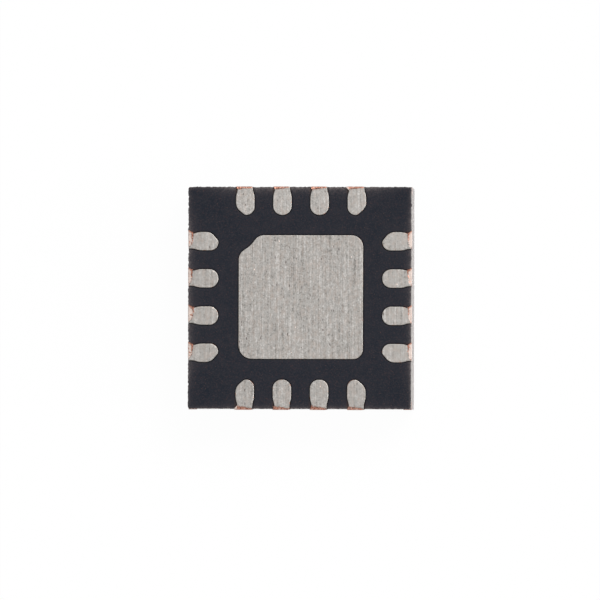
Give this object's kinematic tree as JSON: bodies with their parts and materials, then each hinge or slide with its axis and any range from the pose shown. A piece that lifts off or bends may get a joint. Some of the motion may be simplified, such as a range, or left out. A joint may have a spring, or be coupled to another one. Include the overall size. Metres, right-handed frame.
{
  "type": "leadless chip package",
  "caption": "Square leadless moulded chip package, terminal side up: rounded tin-plated lands along all four sides round an exposed pad with a notch for pin 1.",
  "frame": {"origin": "middle of the marked face, which lies on the surface; the terminals face up", "axes": "+Z out of the terminal side; the pin 1 notch of the exposed pad is at -X, +Y; +Y is the top of the picture"},
  "size_m": [0.003, 0.003, 0.0009],
  "materials": {
    "mould_epoxy": "matte, silica-filled, sawn at the sides",
    "bare_copper": "bare copper alloy, freshly sawn",
    "matte_tin": "matte tin with fine streaks along Y",
    "glue": "cured silver-filled glue",
    "silicon": "polished silicon",
    "wire_metal": "drawn gold wire"
  },
  "bodies": {
    "root": {"mould_body": "mould_epoxy", "die_pad": "bare_copper", "pad_plating": "matte_tin", "die_attach": "glue", "die": "silicon", "lead_01": "bare_copper", "lead_02": "bare_copper", "lead_03": "bare_copper", "lead_04": "bare_copper", "lead_05": "bare_copper", "lead_06": "bare_copper", "lead_07": "bare_copper", "lead_08": "bare_copper", "lead_09": "bare_copper", "lead_10": "bare_copper", "lead_11": "bare_copper", "lead_12": "bare_copper", "lead_13": "bare_copper", "lead_14": "bare_copper", "lead_15": "bare_copper", "lead_16": "bare_copper", "lead_plating_01": "matte_tin", "lead_plating_02": "matte_tin", "lead_plating_03": "matte_tin", "lead_plating_04": "matte_tin", "lead_plating_05": "matte_tin", "lead_plating_06": "matte_tin", "lead_plating_07": "matte_tin", "lead_plating_08": "matte_tin", "lead_plating_09": "matte_tin", "lead_plating_10": "matte_tin", "lead_plating_11": "matte_tin", "lead_plating_12": "matte_tin", "lead_plating_13": "matte_tin", "lead_plating_14": "matte_tin", "lead_plating_15": "matte_tin", "lead_plating_16": "matte_tin", "bond_wire_01": "wire_metal", "bond_wire_02": "wire_metal", "bond_wire_03": "wire_metal", "bond_wire_04": "wire_metal", "bond_wire_05": "wire_metal", "bond_wire_06": "wire_metal", "bond_wire_07": "wire_metal", "bond_wire_08": "wire_metal", "bond_wire_09": "wire_metal", "bond_wire_10": "wire_metal", "bond_wire_11": "wire_metal", "bond_wire_12": "wire_metal", "bond_wire_13": "wire_metal", "bond_wire_14": "wire_metal", "bond_wire_15": "wire_metal", "bond_wire_16": "wire_metal"}
  },
  "joints": []
}
